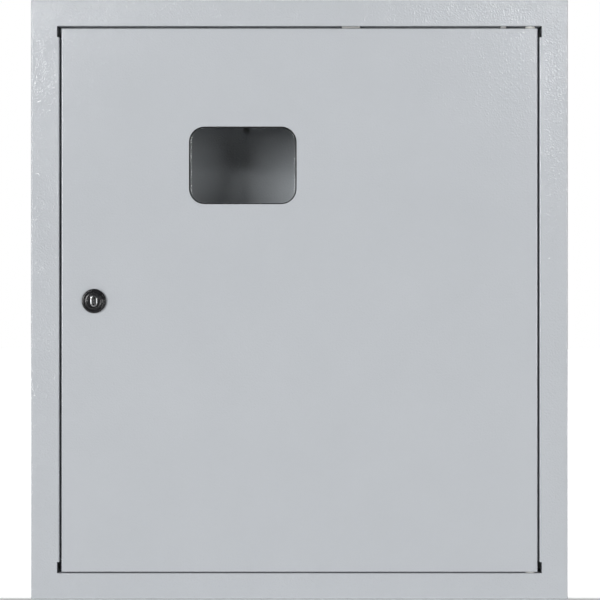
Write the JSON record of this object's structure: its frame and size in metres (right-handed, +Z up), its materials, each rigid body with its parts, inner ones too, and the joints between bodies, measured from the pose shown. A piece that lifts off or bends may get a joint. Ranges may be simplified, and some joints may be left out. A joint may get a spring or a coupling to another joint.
{
  "type": "recessed steel wall enclosure",
  "caption": "Recessed steel wall cabinet for a meter and rail-mounted devices, with a flush folded frame, a windowed door on hidden pin hinges, a turning cam lock and an inner cover.",
  "frame": {"origin": "middle of the frame's rim, in the plane of the finished wall", "axes": "+X to the right, +Y back into the wall, +Z up; the door's face looks along -Y"},
  "size_m": [0.484, 0.168, 0.54],
  "materials": {
    "grey_paint": "light grey powder coat with a fine orange-peel texture",
    "zinc_plating": "bright zinc plating",
    "bright_chrome": "polished chrome plating",
    "brass_bar": "drawn brass",
    "black_enamel": "glossy black coating on die-cast zinc",
    "seal_rubber": "matt black foam rubber",
    "buffer_foam": "pale grey self-adhesive foam",
    "nylon": "natural nylon",
    "white_plastic": "satin white",
    "black_plastic": "matt black",
    "blue_plastic": "satin blue",
    "green_plastic": "satin green",
    "clear_plastic": "clear moulded polycarbonate"
  },
  "bodies": {
    "cabinet": {"back_and_sides": "grey_paint", "top_plate": "grey_paint", "bottom_plate": "grey_paint", "upright_studs": "zinc_plating", "fixing_ears": "grey_paint", "box_earth_stud": "zinc_plating", "box_earth_nuts": "zinc_plating", "front_frame": "grey_paint", "frame_screws": "zinc_plating", "hinge_pin_top": "zinc_plating", "hinge_pin_bottom": "zinc_plating", "door_buffers": "buffer_foam", "upright_left": "zinc_plating", "upright_right": "zinc_plating", "upright_nuts": "zinc_plating", "meter_plate": "grey_paint", "meter_plate_screws": "zinc_plating", "rail_lower": "zinc_plating", "rail_upper": "zinc_plating", "rail_spacers": "zinc_plating", "rail_screws": "zinc_plating", "neutral_bar": "brass_bar", "neutral_insulators": "blue_plastic", "neutral_screws": "zinc_plating", "earth_bar": "brass_bar", "earth_insulators": "green_plastic", "earth_screws": "zinc_plating", "inner_cover": "grey_paint", "cover_posts": "zinc_plating", "cover_screws": "black_plastic", "blank_left": "white_plastic", "blank_right": "white_plastic", "blank_upper": "white_plastic"},
    "door": {"door_panel": "grey_paint", "window_seal": "seal_rubber", "window_pane": "clear_plastic", "window_studs": "zinc_plating", "window_nuts": "zinc_plating", "hinge_bush_top": "nylon", "hinge_bush_bottom": "nylon", "door_earth_stud": "zinc_plating", "door_earth_nuts": "zinc_plating", "lock_housing": "black_enamel", "lock_washer": "zinc_plating", "lock_nut": "zinc_plating"},
    "lock": {"lock_plug": "black_enamel", "lock_core": "bright_chrome", "lock_cam": "zinc_plating", "lock_cam_nut": "zinc_plating"}
  },
  "joints": [
    {"name": "door_hinge", "type": "hinge", "parent": "cabinet", "child": "door", "pos_m": [0.2085, -0.005, 0], "axis": [0, 0, 1], "range_deg": [0, 110]},
    {"name": "lock_turn", "type": "hinge", "parent": "door", "child": "lock", "pos_m": [-0.185, 0, -0.0013], "axis": [0, 1, 0], "range_deg": [0, 90]}
  ]
}
